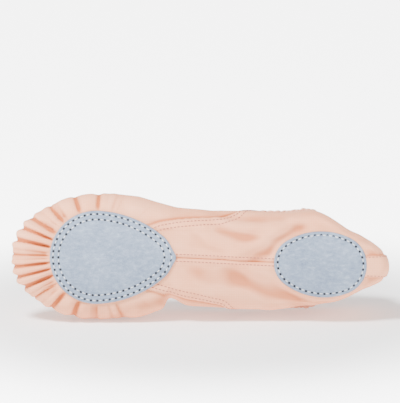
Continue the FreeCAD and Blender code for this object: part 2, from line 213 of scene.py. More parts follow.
def base_grid():
    """The whole outer surface as rows of a closed ring: sole, rounded edge, wall and vamp."""
    ring_x, ring_w = wall(RING_SHARE, EDGE_ROUND, RING_SIDE)
    ahead_x, ahead_w = np.roll(ring_x, -1), np.roll(ring_w, -1)
    behind_x, behind_w = np.roll(ring_x, 1), np.roll(ring_w, 1)
    along_x, along_w = ahead_x - behind_x, ahead_w - behind_w
    norm = np.hypot(along_x, along_w) + 1e-9
    in_x, in_w = along_w / norm, -along_x / norm
    amount = EDGE_ROUND + (HEEL_EDGE_ROUND - EDGE_ROUND) * smooth((ring_x - 140) / 60)
    amount = amount + 3.0 * np.exp(-(((ring_x - 135) / 26) ** 2))
    flat_x, flat_w = ring_x + in_x * amount, ring_w + in_w * amount
    spine_x = np.clip(SPINE_FRONT + (SPINE_REAR - SPINE_FRONT) * RING_SHARE, SPINE_FRONT, SPINE_REAR)
    spine_w = centre_line(spine_x)
    rows = []
    for j in range(SOLE_ROWS):
        f = j / SOLE_ROWS
        x = spine_x + (flat_x - spine_x) * f
        w = spine_w + (flat_w - spine_w) * f
        rows.append((x, np.zeros(COLUMNS), w))
    for j in range(EDGE_ROWS):
        angle = math.pi / 2 * j / EDGE_ROWS
        shift = amount * (1 - math.sin(angle))
        d = EDGE_ROUND * (1 - math.cos(angle))
        rows.append((ring_x + in_x * shift, np.full(COLUMNS, d), ring_w + in_w * shift))
    for j in range(WALL_ROWS + 1):
        d = EDGE_ROUND + (DEPTH - EDGE_ROUND) * (j / WALL_ROWS) ** 1.15
        x, w = wall(RING_SHARE, d, RING_SIDE)
        rows.append((x, np.full(COLUMNS, d), w))
    x, d, w = (np.array([row[k] for row in rows]) for k in range(3))
    d = raise_profile(x, d)
    side_w = w - centre_line(x)
    w = w + waist_hollow(x, d, side_w) + heel_swell(x, side_w)
    return np.stack([x, d, w], axis=-1)


def grid_normals(grid):
    """Outward normals of a ring grid."""
    across = np.roll(grid, -1, axis=1) - np.roll(grid, 1, axis=1)
    up = np.gradient(grid, axis=0)
    normal = np.cross(across, up)
    normal /= np.linalg.norm(normal, axis=-1, keepdims=True) + 1e-9
    centre = np.array([120.0, 22.0, 0.0])
    sense = np.sign(np.sum(normal[60] * (grid[60] - centre), axis=-1).mean())
    return normal * sense


# ---- Pleats and folds ----

# Where the gathers' valleys lie round the toe, in degrees from straight ahead, left side positive.
PLEATS = [
    -138, -114, -92.4, -70.5, -48.8, -34.3, -23.9, -14.6, -6.3, 1.8, 12.5, 22.9, 32.6, 48.1, 71.2,
    94.3, 115.4, 138,
]
PLEAT_DEPTH = [
    0.05, 0.2, 0.4, 0.7, 0.95, 1.15, 1.5, 1.15, 1.3, 1.1, 1.45, 1.2, 1.2, 1.0, 0.65, 0.4, 0.2, 0.05,
]
PLEAT_FOCUS = 52.4
PLEAT_HEIGHT = 2.75
PLEAT_SINK = 0.9


def egg_circles(front, rear, front_radius, rear_radius, side_radius):
    """The circles of a four-arc egg from its two ends and its three radii."""
    first, last = front + front_radius, rear - rear_radius
    span = last - first
    near, far = side_radius - front_radius, side_radius - rear_radius
    along = (near**2 - far**2 + span**2) / (2 * span)
    across = math.sqrt(near**2 - along**2)
    return first, last, front_radius, rear_radius, side_radius, first + along, across


FOREFOOT_EGG = egg_circles(24.4, 101.2, 29.0, 17.0, 68.0)
HEEL_EGG = egg_circles(164.0, 222.0, 16.0, 18.8, 41.5)


def egg_distance(x, w, egg):
    """Signed distance from a four-arc egg's edge, positive outside."""
    first, last, front_radius, rear_radius, side_radius, side_x, across = egg
    w = np.abs(w)
    to_side = np.hypot(x - side_x, w + across)
    angle_front = math.atan2(across, first - side_x)
    angle_rear = math.atan2(across, last - side_x)
    angle = np.arctan2(w + across, x - side_x)
    distance = to_side - side_radius
    distance = np.where(angle > angle_front, np.hypot(x - first, w) - front_radius, distance)
    return np.where(angle < angle_rear, np.hypot(x - last, w) - rear_radius, distance)


def running_length(line):
    """The length along a line of points, at each of them."""
    return np.concatenate([[0], np.cumsum(np.linalg.norm(np.diff(line, axis=0), axis=1))])


def egg_outline(egg, count, inset=0.0):
    """Evenly spaced points of an egg's edge, moved in by the inset, from the toe round."""
    first, last, front_radius, rear_radius, side_radius, side_x, across = egg
    turn_front = math.atan2(across, first - side_x)
    turn_rear = math.atan2(across, last - side_x)
    arcs = [
        (first, 0.0, front_radius, math.pi, turn_front),
        (side_x, -across, side_radius, turn_front, turn_rear),
        (last, 0.0, rear_radius, turn_rear, 0.0),
    ]
    fine = []
    for cx, cw, radius, start, stop in arcs:
        angles = np.linspace(start, stop, 400)
        reach = radius - inset
        fine.append(np.stack([cx + reach * np.cos(angles), cw + reach * np.sin(angles)], -1))
    half = np.concatenate(fine)
    full = np.concatenate([half, half[::-1] * [1, -1]])
    along = running_length(full)
    even = np.linspace(0, along[-1], count, endpoint=False)
    return np.stack([np.interp(even, along, full[:, k]) for k in (0, 1)], -1), along[-1]


def heel_frame(x, w, turned=True):
    """Heel pieces are turned with the heel's drop about the hinge, forefoot pieces are not."""
    if not turned:
        return x, w
    turn = math.atan(YAW_SLOPE)
    out_x = HINGE + (x - HINGE) * math.cos(turn) + w * math.sin(turn)
    return out_x, w * math.cos(turn) - (x - HINGE) * math.sin(turn)


def clear_of_patches(x, w):
    """0 under the suede patches, 1 a little way outside them; w is from the middle line."""
    heel_w = w + centre_line(x)
    turn = math.atan(YAW_SLOPE)
    along = (x - HINGE) * math.cos(turn) - heel_w * math.sin(turn)
    across = (x - HINGE) * math.sin(turn) + heel_w * math.cos(turn)
    off_forefoot = egg_distance(x, w, FOREFOOT_EGG)
    off_heel = egg_distance(HINGE + along, across, HEEL_EGG)
    return smooth((np.minimum(off_forefoot, off_heel) + 0.5) / 4.5)


def pleat_height(x, d, w):
    """The toe's gathers: rounded puffs between sharp valleys that run out from the patch."""
    angle = np.degrees(np.arctan2(w, PLEAT_FOCUS - x))
    bend = 1.6 * np.sin(np.radians(angle * 5.3)) * smooth((d - 2) / 20)
    angle = angle + bend
    height = np.zeros_like(angle)
    for k in range(len(PLEATS) - 1):
        low, high = PLEATS[k], PLEATS[k + 1]
        inside = (angle >= low) & (angle < high)
        t = np.clip((angle - low) / (high - low), 0, 1)
        deep = PLEAT_DEPTH[k] * (1 - t) + PLEAT_DEPTH[k + 1] * t
        width = (high - low) / 9.5
        puff = 1 - np.abs(2 * t - 1) ** (1.5 + 0.7 * width)
        puff = puff**0.8
        skew = 0.3 * np.sin(2 * math.pi * t + k * 1.7)
        height = np.where(inside, (puff + skew * puff - PLEAT_SINK) * deep, height)
    out = egg_distance(x, w, FOREFOOT_EGG)
    start = smooth((out + 1.5) / 5.5)
    over = 1 - smooth((d - 13) / 15)
    wander = 2.2 * np.sin(np.radians(angle * 7))
    creases = 0.16 * np.sin(np.radians(angle * 31) + wander) * (np.abs(angle) < 120)
    aside = smooth((np.abs(angle) - 25) / 40)
    eased = 1 - (0.3 + 0.45 * aside) * smooth((out - 5) / 13)
    return (PLEAT_HEIGHT * height + creases) * start * over * eased


# Soft folds of the canvas: (x, w) of both ends, half width across and height (valleys negative).
FOLDS = [
    ((134, -7), (188, -29), 6.0, -3.4),
    ((140, 1), (184, -16), 5.6, 1.7),
    ((158, -10), (196, -26), 3.8, -1.9),
    ((192, -25), (158, -30), 3.4, 1.2),
    ((112, -7), (142, -14), 6.0, -1.5),
    ((106, -17), (134, -21), 4.5, 1.2),
    ((120, 16), (148, 6), 4.4, 1.6),
    ((122, 24), (152, 14), 3.4, -1.1),
    ((138, 3), (170, 22), 3.8, 1.8),
    ((146, -1), (168, 12), 4.0, -1.5),
    ((148, 20), (180, 27), 3.2, 1.3),
    ((154, 13), (182, 22), 2.6, -1.1),
    ((124, 29), (158, 26), 2.4, -1.2),
    ((130, 24), (154, 22), 2.4, 0.8),
    ((104, 18), (130, 25), 3.8, 1.0),
    ((168, 26), (208, 20), 2.6, -1.2),
    ((182, 25), (220, 12), 2.6, 1.1),
    ((194, 23), (222, 14), 2.0, -0.9),
    ((204, 19), (231, 6), 2.2, -1.0),
    ((208, -14), (231, -7), 2.2, -0.9),
    ((150, -27), (208, -26), 3.4, -0.9),
    ((194, -24), (227, -14), 2.4, -1.0),
    ((78, -32), (97, -26), 3.2, -1.2),
    ((72, -36), (92, -31), 3.0, 0.9),
    ((74, 33), (98, 27), 3.4, 1.0),
    ((60, -38), (76, -33), 3.0, -0.7),
]
HOLLOW_X = 99.0
HOLLOW_DEPTH = 5.8
SWELL_X = 193.0
SWELL_DEPTH = 4.6


def waist_hollow(x, d, w):
    """How far the lower side is drawn in, across, where the quarter is gathered into the vamp."""
    reach = np.where(x < HOLLOW_X, 2.8, 7.5)
    hollow = np.exp(-(((x - HOLLOW_X) / reach) ** 2))
    return HOLLOW_DEPTH * hollow * smooth((-w - 15) / 12) * (1 - smooth((d - 24) / 14))


def heel_swell(x, w):
    """How far the upper side stands out, across, beside the heel patch."""
    return SWELL_DEPTH * np.exp(-(((x - SWELL_X) / 15) ** 2)) * smooth((w - 9) / 13)


def fold_height(x, d, w):
    """The quarters' soft folds, faded out up the sides and under the patches."""
    total = np.zeros_like(x)
    for (x0, w0), (x1, w1), width, height in FOLDS:
        span_x, span_w = x1 - x0, w1 - w0
        long = math.hypot(span_x, span_w)
        t = ((x - x0) * span_x + (w - w0) * span_w) / long**2
        across = ((x - x0) * span_w - (w - w0) * span_x) / long
        bow = 1.6 * np.sin(np.clip(t, 0, 1) * math.pi)
        ends = smooth((t + 0.25) / 0.5) * smooth((1.25 - t) / 0.5)
        total += height * ends * np.exp(-(((across - bow) / width) ** 2))
    near_sole = 1 - smooth((d - 30) / 14)
    return total * near_sole * clear_of_patches(x, w)


def waves(x, d, w, seed, pitch):
    """Gentle unevenness from a few crossed sine waves with a fixed seed."""
    rng = np.random.default_rng(seed)
    total = np.zeros_like(x)
    for _ in range(9):
        direction = rng.normal(size=3)
        direction /= np.linalg.norm(direction)
        scale = pitch * rng.uniform(0.6, 1.6)
        phase = rng.uniform(0, 2 * math.pi)
        along = x * direction[0] + d * direction[1] + w * direction[2]
        total += np.sin(along * 2 * math.pi / scale + phase)
    return total / 9


def throat_ruching(grid):
    """Small gathers that the drawcord makes beside the throat's edge."""
    rows = grid.shape[0]
    level = np.arange(rows)[:, None] / (rows - 1)
    near = smooth((level - 0.86) / 0.14)
    column = np.arange(grid.shape[1])[None, :]
    ripple = np.sin(column * 2 * math.pi * 92 / COLUMNS + 1.5 * np.sin(column * 0.11))
    ripple += 0.5 * np.sin(column * 2 * math.pi * 57 / COLUMNS + 2.0)
    return 0.35 * near * ripple


def canvas_height(grid):
    """How far the canvas stands off the plain surface, without its seams."""
    x, d, w = grid[..., 0], grid[..., 1], grid[..., 2] - centre_line(grid[..., 0])
    height = pleat_height(x, d, w)
    height += fold_height(x, d, w)
    height += 0.35 * waves(x, d, w, 3, 34.0)
    height += 0.10 * waves(x, d, w, 8, 11.0)
    height += 0.07 * waves(x, d, w, 15, 6.0) * clear_of_patches(x, w)
    height += throat_ruching(grid)
    return height


# Each vamp seam as (distance along the foot, girth from the sole's middle) points, by side.
SEAM_POINTS = {
    1: [
        (78, 8), (82, 17.5), (92, 21.6), (103, 23.8), (115, 25.2), (131, 26.8), (141, 32), (151, 60),
        (158, 90),
    ],
    -1: [
        (76, 8), (80, 17), (86.4, 20.3), (99.6, 23.9), (106.5, 25.1), (119.6, 27.2), (132, 30),
        (146, 60), (154, 90),
    ],
}


def seam_line(side):
    """The vamp seam's girth on a fine grid along the foot, its corners eased."""
    grid = np.arange(70.0, 160.0, 0.25)
    known = np.array(SEAM_POINTS[side], float)
    girth = np.interp(grid, known[:, 0], known[:, 1])
    kept = np.pad(girth, 12, mode="edge")
    return grid, np.convolve(kept, np.hanning(27)[1:-1] / np.hanning(27).sum(), "valid")


SEAM_LINES = {side: seam_line(side) for side in SEAM_POINTS}


def behind_seam(x, girth, side):
    """How far a place lies behind a side's vamp seam, square to the seam."""
    grid, line = SEAM_LINES[side]
    slope = np.gradient(line, grid)
    return (np.interp(x, grid, line) - girth) / np.sqrt(1 + np.interp(x, grid, slope) ** 2)


def seam_heights(grid, girth):
    """The arch seam's pinch and the step where each quarter laps over the vamp."""
    x, across = grid[..., 0], grid[..., 2] - centre_line(grid[..., 0])
    arch = smooth((x - 98) / 4) * (1 - smooth((x - 168) / 4))
    pinch = -0.95 * np.exp(-((girth / 0.75) ** 2)) + 0.35 * np.exp(-(((girth - 2.3) / 1.9) ** 2))
    past = np.where(across > 0, behind_seam(x, girth, 1), behind_seam(x, girth, -1))
    step = 0.6 * smooth(past / 0.8 + 0.5) * np.exp(-np.maximum(past, 0) / 7)
    gutter = -0.4 * np.exp(-(((past + 0.7) / 0.9) ** 2))
    lap = (step + gutter) * smooth((girth - 17) / 2) * smooth((x - 78) / 5) * (1 - smooth((x - 156) / 6))
    off_strip = np.abs(grid[..., 2] - centre_line(LENGTH)) - STRIP_HALF - 0.4
    beside_strip = -0.3 * np.exp(-((off_strip / 1.3) ** 2)) * smooth((x - 221) / 2)
    return pinch * arch + lap + beside_strip


# ---- Mesh helpers ----


def mesh_object(name, points, faces, material, merge=0.0, creases=None):
    """A smooth-shaded mesh object from points in the slipper's axes."""
    points = np.asarray(points, float)
    mesh = bpy.data.meshes.new(name)
    mesh.from_pydata(place(points[:, 0], points[:, 1], points[:, 2]).tolist(), [], faces)
    mesh.validate()
    # creases: how much painted crease shade each point gets, kept as a point attribute for the material.
    if creases is not None:
        values = mesh.attributes.new("crease_shade", "FLOAT", "POINT").data
        values.foreach_set("value", creases.astype(np.float32))
    if merge:
        work = bmesh.new()
        work.from_mesh(mesh)
        bmesh.ops.remove_doubles(work, verts=work.verts, dist=merge * MM)
        bmesh.ops.dissolve_degenerate(work, edges=work.edges, dist=0.01 * MM)
        bmesh.ops.recalc_face_normals(work, faces=work.faces)
        work.to_mesh(mesh)
        work.free()
    mesh.polygons.foreach_set("use_smooth", [True] * len(mesh.polygons))
    piece = bpy.data.objects.new(name, mesh)
    bpy.context.scene.collection.objects.link(piece)
    piece.data.materials.append(material)
    return piece


def ring_faces(rows, columns, first=0):
    """Quads between successive closed rings of points."""
    faces = []
    for j in range(rows - 1):
        for k in range(columns):
            n = (k + 1) % columns
            a, b = first + j * columns, first + (j + 1) * columns
            faces.append((a + k, a + n, b + n, b + k))
    return faces


def circle(centre, radius, across, up, count):
    """Points round a centre, in the plane of two directions."""
    turns = [2 * math.pi * k / count for k in range(count)]
    return [centre + radius * (across * math.cos(a) + up * math.sin(a)) for a in turns]


def shell_object(name, outer, inner, material, creases):
    """A thin cloth shell: an outer and an inner ring grid, joined round the throat's edge."""
    rows, columns = outer.shape[:2]
    points = np.concatenate([outer.reshape(-1, 3), inner.reshape(-1, 3)])
    faces = ring_faces(rows, columns)
    start = rows * columns
    faces += [face[::-1] for face in ring_faces(rows, columns, start)]
    top, top_in = (rows - 1) * columns, start + (rows - 1) * columns
    for k in range(columns):
        n = (k + 1) % columns
        faces.append((top + k, top + n, top_in + n, top_in + k))
    return mesh_object(name, points, faces, material, 0.02, np.concatenate([creases.ravel()] * 2))


def ribbon_object(name, sections, material, closed_path=False, creases=None):
    """A solid strip from closed cross-sections, one after the other along a path."""
    sections = np.asarray(sections)
    rows, columns = sections.shape[:2]
    points = sections.reshape(-1, 3)
    faces = ring_faces(rows, columns)
    if closed_path:
        for k in range(columns):
            n = (k + 1) % columns
            a = (rows - 1) * columns
            faces.append((a + k, a + n, n, k))
    else:
        faces.append(tuple(range(columns))[::-1])
        faces.append(tuple((rows - 1) * columns + k for k in range(columns)))
    return mesh_object(name, points, faces, material, 0.001, creases)


def plate_object(name, top, bottom, material):
    """A plate from the rings of its top and of its bottom, both listed from the middle out."""
    rings = top + bottom[::-1]
    count = len(rings[0])
    points = np.concatenate([[rings[0].mean(axis=0)]] + rings + [[rings[-1].mean(axis=0)]])
    faces = ring_faces(len(rings), count, 1)
    last = len(points) - 1
    last_ring = 1 + (len(rings) - 1) * count
    for k in range(count):
        n = (k + 1) % count
        faces.append((0, 1 + n, 1 + k))
        faces.append((last, last_ring + k, last_ring + n))
    return mesh_object(name, points, faces, material, merge=0.001)


# ---- The surface, ready to place things on ----

BASE = base_grid()
BASE_NORMAL = grid_normals(BASE)
steps = np.linalg.norm(np.diff(BASE, axis=0), axis=-1)
GIRTH = np.concatenate([np.zeros((1, COLUMNS)), np.cumsum(steps, axis=0)])
FLAT = np.abs(BASE[..., 2] - centre_line(BASE[..., 0]))
GIRTH += FLAT[SOLE_ROWS] - GIRTH[SOLE_ROWS]
GIRTH[:SOLE_ROWS] = FLAT[:SOLE_ROWS]
SEAM_HEIGHT = seam_heights(BASE, GIRTH)
HEIGHT = canvas_height(BASE) + SEAM_HEIGHT
OUTER = BASE + BASE_NORMAL * HEIGHT[..., None]
OUTER_NORMAL = grid_normals(OUTER)


def softened(values, columns, rows):
    """The mean of a grid of values over a window, round the ring and along the rows."""
    ring = sum(np.roll(values, k, axis=1) for k in range(-columns, columns + 1)) / (2 * columns + 1)
    padded = np.pad(ring, ((rows, rows), (0, 0)), mode="edge")
    return sum(padded[k : k + len(values)] for k in range(2 * rows + 1)) / (2 * rows + 1)


# How deep each place lies in the creases of pleats, seams and broad folds, from 0 on open cloth: painted
# shade, a deeper orange mixed into the canvas colour there.
GATHERED = SEAM_HEIGHT + pleat_height(BASE[..., 0], BASE[..., 1], BASE[..., 2])
PAINTED_CREASE_SHADE = np.clip((softened(GATHERED, 4, 3) - GATHERED - 0.04) / 0.42, 0, 1) ** 0.8
PAINTED_CREASE_SHADE = PAINTED_CREASE_SHADE + 0.95 * np.clip(softened(HEIGHT, 16, 10) - softened(HEIGHT, 2, 2), 0, 1)


def surface_point(x, girth, side):
    """The outer cloth's point and normal at a distance along the foot and a girth, on one side."""
    first = 1 if side > 0 else COLUMNS_A_SIDE + 1
    band = slice(first, first + COLUMNS_A_SIDE - 2)
    xs, gs = OUTER[:, band, 0], GIRTH[:, band]
    near = (xs - x) ** 2 + (gs - girth) ** 2
    j, k = np.unravel_index(np.argmin(near), near.shape)
    j = min(max(j, 1), xs.shape[0] - 2)
    k = min(max(k, 1), xs.shape[1] - 2)
    across_x, up_x = (xs[j, k + 1] - xs[j, k - 1]) / 2, (xs[j + 1, k] - xs[j - 1, k]) / 2
    across_g, up_g = (gs[j, k + 1] - gs[j, k - 1]) / 2, (gs[j + 1, k] - gs[j - 1, k]) / 2
    det = across_x * up_g - up_x * across_g
    dx, dg = x - xs[j, k], girth - gs[j, k]
    a = np.clip((dx * up_g - up_x * dg) / det, -2, 2)
    b = np.clip((across_x * dg - dx * across_g) / det, -2, 2)
    k += first
    point = OUTER[j, k] + a * (OUTER[j, k + 1] - OUTER[j, k - 1]) / 2
    point = point + b * (OUTER[j + 1, k] - OUTER[j - 1, k]) / 2
    return point, OUTER_NORMAL[j, k]


SOLE_BAND = SOLE_ROWS + EDGE_ROWS - 3


def sole_lookup():
    """A search tree of the sole's points as seen from below, and the points themselves."""
    points = BASE[2:SOLE_BAND, :].reshape(-1, 3)
    tree = KDTree(len(points))
    for index, point in enumerate(points):
        tree.insert((point[0], point[2], 0.0), index)
    tree.balance()
    return tree, points


SOLE_TREE, SOLE_POINTS = sole_lookup()


def sole_depth(x, w):
    """How deep the rounded sole lies at a point seen from below: 0 on its flat."""
    found = SOLE_TREE.find_n((float(x), float(w), 0.0), 6)
    weights = np.array([1 / (item[2] + 0.15) for item in found])
    depths = np.array([SOLE_POINTS[item[1]][1] for item in found])
    return float((weights * depths).sum() / weights.sum())


# ---- Materials ----


def rgb(*display):
    """Linear colour from three display values between 11 and 255."""
    return tuple(((value / 255 + 0.055) / 1.055) ** 2.4 for value in display) + (1.0,)


class Nodes:
    """A material's node tree with short ways to add and join nodes."""

    def __init__(self, name, roughness, sheen=0.0, sheen_tint=(1, 1, 1, 1), specular=0.3):
        self.material = bpy.data.materials.new(name)
        self.material.use_nodes = True
        self.tree = self.material.node_tree
        self.shader = self.tree.nodes["Principled BSDF"]
        self.shader.inputs["Roughness"].default_value = roughness
        self.shader.inputs["Specular IOR Level"].default_value = specular
        self.shader.inputs["Sheen Weight"].default_value = sheen
        self.shader.inputs["Sheen Roughness"].default_value = 0.5
        self.shader.inputs["Sheen Tint"].default_value = sheen_tint
        self.place = self.add("ShaderNodeTexCoord").outputs["Object"]

    def add(self, kind, **settings):
        """A new node of a kind, with its settings."""
        node = self.tree.nodes.new(kind)
        for key, value in settings.items():
            setattr(node, key, value)
        return node

    def join(self, out, into):
        """Link an output to an input."""
        self.tree.links.new(out, into)

    def noise(self, scale, detail=3.0, rough=0.5, stretch=None):
        """Noise over the object, stretched if asked."""
        node = self.add("ShaderNodeTexNoise")
        node.inputs["Scale"].default_value = scale
        node.inputs["Detail"].default_value = detail
        node.inputs["Roughness"].default_value = rough
        source = self.place
        if stretch:
            mapping = self.add("ShaderNodeMapping")
            mapping.inputs["Scale"].default_value = stretch
            self.join(self.place, mapping.inputs["Vector"])
            source = mapping.outputs["Vector"]
        self.join(source, node.inputs["Vector"])
        return node.outputs["Fac"]

    def wave(self, scale, direction, distortion=0.4, rotate=0.0):
        """Parallel bands across one direction."""
        mapping = self.add("ShaderNodeMapping")
        mapping.inputs["Rotation"].default_value = (rotate, 0, 0)
        self.join(self.place, mapping.inputs["Vector"])
        node = self.add("ShaderNodeTexWave", wave_type="BANDS", bands_direction=direction)
        node.inputs["Scale"].default_value = scale
        node.inputs["Distortion"].default_value = distortion
        node.inputs["Detail"].default_value = 1.0
        self.join(mapping.outputs["Vector"], node.inputs["Vector"])
        return node.outputs["Fac"]

    def math(self, kind, one, two):
        """A sum or product of two values or outputs."""
        node = self.add("ShaderNodeMath", operation=kind)
        for socket, value in zip(node.inputs, (one, two)):
            if isinstance(value, (int, float)):
                socket.default_value = value
            else:
                self.join(value, socket)
        return node.outputs[0]

    def ramp(self, fac, stops):
        """A colour ramp through its stops."""
        node = self.add("ShaderNodeValToRGB")
        ramp = node.color_ramp
        while len(ramp.elements) < len(stops):
            ramp.elements.new(0.5)
        for element, (position, colour) in zip(ramp.elements, stops):
            element.position = position
            element.color = colour
        self.join(fac, node.inputs["Fac"])
        return node.outputs["Color"]

    def mix(self, fac, one, two):
        """A blend of two colours."""
        node = self.add("ShaderNodeMix", data_type="RGBA", blend_type="MIX")
        if isinstance(fac, (int, float)):
            node.inputs[0].default_value = fac
        else:
            self.join(fac, node.inputs[0])
        for socket, value in ((node.inputs[6], one), (node.inputs[7], two)):
            if isinstance(value, tuple):
                socket.default_value = value
            else:
                self.join(value, socket)
        return node.outputs[2]

    def colour(self, out):
        """Set the base colour."""
        self.join(out, self.shader.inputs["Base Color"])

    def bump(self, height, strength, distance):
        """Fine relief from a height."""
        node = self.add("ShaderNodeBump")
        node.inputs["Strength"].default_value = strength
        node.inputs["Distance"].default_value = distance
        self.join(height, node.inputs["Height"])
        self.join(node.outputs["Normal"], self.shader.inputs["Normal"])


# The deeper orange painted into creases and folds as shade.
CREASE_SHADE_COLOUR = rgb(190, 105, 62)
WAVE_TURN = 6.28


def cloth(name, base, shade, light, pitch=0.55, bump=0.5, sheen=0.08):
    """Plain-woven cotton: crossed yarns, slubs, a soft uneven dye and painted shade in the creases."""
    nodes = Nodes(name, 0.85, sheen, (1.0, 0.86, 0.8, 1), 0.15)
    broad = nodes.noise(38.0, 4.0, 0.55)
    dyed = nodes.ramp(broad, [(0.3, shade), (0.5, base), (0.72, light)])
    yarns = 1 / (pitch * MM) / WAVE_TURN
    warp = nodes.wave(yarns, "X", 0.6)
    weft = nodes.wave(yarns, "Z", 0.6, LEAN)
    side = nodes.wave(yarns, "Y", 0.6, LEAN)
    facing = nodes.add("ShaderNodeSeparateXYZ")
    nodes.join(nodes.add("ShaderNodeTexCoord").outputs["Normal"], facing.inputs[0])
    weave = 0.0
    for yarn, axis in ((warp, 0), (side, 1), (weft, 2)):
        square = nodes.math("MULTIPLY", facing.outputs[axis], facing.outputs[axis])
        faded = nodes.math("MULTIPLY", square, 0.55)
        shown = nodes.math("MULTIPLY", yarn, nodes.math("SUBTRACT", 0.55, faded))
        weave = nodes.math("ADD", weave, shown)
    slubs = nodes.noise(900.0, 2.0, 0.6, (0.25, 1.0, 1.0))
    toned = nodes.mix(0.55, dyed, nodes.ramp(weave, [(0.0, shade), (0.6, base), (1.0, light)]))
    toned = nodes.mix(nodes.math("MULTIPLY", slubs, 0.22), toned, shade)
    # Painted shade: the crease colour is mixed in where the point attribute is high.
    crease_shade = nodes.add("ShaderNodeAttribute", attribute_name="crease_shade").outputs["Fac"]
    nodes.colour(nodes.mix(nodes.math("MULTIPLY", crease_shade, 0.75), toned, CREASE_SHADE_COLOUR))
    height = nodes.math("ADD", nodes.math("MULTIPLY", weave, 0.6), nodes.math("MULTIPLY", slubs, 0.6))
    nodes.bump(height, bump, 0.00012)
    return nodes.material


def suede(name, base, dark, light, bump=0.8):
    """Napped suede: mottled brushed fibres with slightly darker scuffs."""
    nodes = Nodes(name, 0.95, 0.12, (0.8, 0.9, 1.0, 1), 0.1)
    broad = nodes.noise(70.0, 6.0, 0.62)
    brushed = nodes.noise(520.0, 3.0, 0.7, (0.5, 1.0, 1.0))
    fine = nodes.noise(2600.0, 2.0, 0.6)
    mottled = nodes.ramp(broad, [(0.32, dark), (0.5, base), (0.68, light)])
    fibre = nodes.ramp(brushed, [(0.3, dark), (0.55, base), (0.75, light)])
    toned = nodes.mix(0.7, mottled, fibre)
    flecks = nodes.ramp(fine, [(0.42, dark), (0.62, light)])
    toned = nodes.mix(0.3, toned, flecks)
    nodes.colour(toned)
    height = nodes.math("ADD", nodes.math("MULTIPLY", brushed, 0.7), fine)
    nodes.bump(height, bump, 0.00018)
    return nodes.material


def thread_material(name, base, dark):
    """Spun sewing thread with a faint twist."""
    nodes = Nodes(name, 0.6, 0.2, (1, 1, 1, 1), 0.35)
    twist = nodes.noise(4200.0, 2.0, 0.5, (0.4, 1.0, 1.6))
    nodes.colour(nodes.ramp(twist, [(0.3, dark), (0.6, base)]))
    nodes.bump(twist, 0.4, 0.0001)
    return nodes.material


def elastic_material(name, base, dark, light):
    """Woven elastic: fine ribs along and across the band."""
    nodes = Nodes(name, 0.6, 0.3, (1.0, 0.88, 0.82, 1), 0.3)
    ribs = nodes.wave(210.0, "X", 0.3)
    mottled = nodes.noise(260.0, 3.0, 0.5)
    ribbed = nodes.ramp(ribs, [(0.0, dark), (0.5, base), (1.0, light)])
    nodes.colour(nodes.mix(0.5, ribbed, nodes.ramp(mottled, [(0.3, base), (0.7, light)])))
    nodes.bump(nodes.math("ADD", ribs, nodes.math("MULTIPLY", mottled, 0.5)), 0.5, 0.0002)
    return nodes.material


PEACH = rgb(243, 172, 134)
PEACH_SHADE = rgb(236, 153, 113)
PEACH_LIGHT = rgb(248, 186, 152)
CANVAS = cloth("peach_canvas", PEACH, PEACH_SHADE, PEACH_LIGHT)
BINDING = cloth("binding_tape", rgb(244, 184, 156), rgb(234, 164, 135), rgb(249, 200, 176), 0.45, 0.4)
LINING = cloth("lining_cotton", rgb(246, 205, 184), rgb(238, 190, 166), rgb(251, 218, 200), 0.4, 0.35, 0.2)
INSOLE = cloth("insole_cotton", rgb(240, 214, 196), rgb(226, 196, 176), rgb(247, 226, 212), 0.4, 0.4, 0.4)
SUEDE = suede("blue_grey_suede", rgb(131, 145, 165), rgb(96, 110, 133), rgb(168, 181, 199))
FOAM = suede("insole_foam", rgb(232, 228, 218), rgb(218, 213, 202), rgb(241, 238, 230), 0.4)
PATCH_THREAD = thread_material("patch_thread", rgb(212, 217, 222), rgb(176, 182, 190))
SEAM_THREAD = thread_material("seam_thread", rgb(182, 106, 88), rgb(148, 80, 66))
# Near-black needle holes: painted shade standing in for the holes' depth.
NEEDLE_HOLE_SHADE = thread_material("needle_hole", rgb(30, 32, 40), rgb(16, 18, 24))
ELASTIC = elastic_material("strap_elastic", rgb(246, 190, 164), rgb(236, 170, 144), rgb(250, 206, 184))

# ---- Canvas upper and lining ----

BLEND_START = tuple(place(103.0, 20.0, 0.0).tolist())
BLEND_END = tuple(place(140.0, 20.0, 0.0).tolist())


def bends(piece):
    """Bake the piece's placement into its mesh; the cloth stays one sheet across the arch, not split at
    the hinge.
    """
    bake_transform(piece)


inner_face = OUTER - OUTER_NORMAL * CANVAS_THICKNESS
upper = shell_object("canvas_upper", OUTER, inner_face, CANVAS, PAINTED_CREASE_SHADE)
bends(upper)
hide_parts("vamp", "quarter_left", "quarter_right")

deepest = np.minimum.reduce([np.roll(HEIGHT, k, axis=1) for k in range(-3, 4)])
lining_height = np.where(deepest < 0, deepest, deepest * smooth((GIRTH - 24) / 10) * 0.8)
lining_outer = BASE + BASE_NORMAL * (lining_height - LINING_OUTSIDE)[..., None]
lining_inner = BASE + BASE_NORMAL * (lining_height - LINING_INSIDE)[..., None]
smooth_cloth = np.zeros(lining_outer[:-1, ::2].shape[:2])
lining = shell_object("lining", lining_outer[:-1, ::2], lining_inner[:-1, ::2], LINING, smooth_cloth)
bends(lining)
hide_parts("vamp_lining", "quarter_lining_left", "quarter_lining_right")

# ---- Binding round the throat and the drawcord inside it ----

RIM = OUTER[-1]
RIM_UP = OUTER[-1] - OUTER[-4]
RIM_UP /= np.linalg.norm(RIM_UP, axis=-1, keepdims=True)
RIM_OUT = OUTER_NORMAL[-2]
column = np.arange(COLUMNS)
gather = 0.5 * np.sin(column * 2 * math.pi * 96 / COLUMNS + 1.4 * np.sin(column * 0.13))
gather += 0.5 * np.sin(column * 2 * math.pi * 61 / COLUMNS + 1.1 * np.sin(column * 0.07))


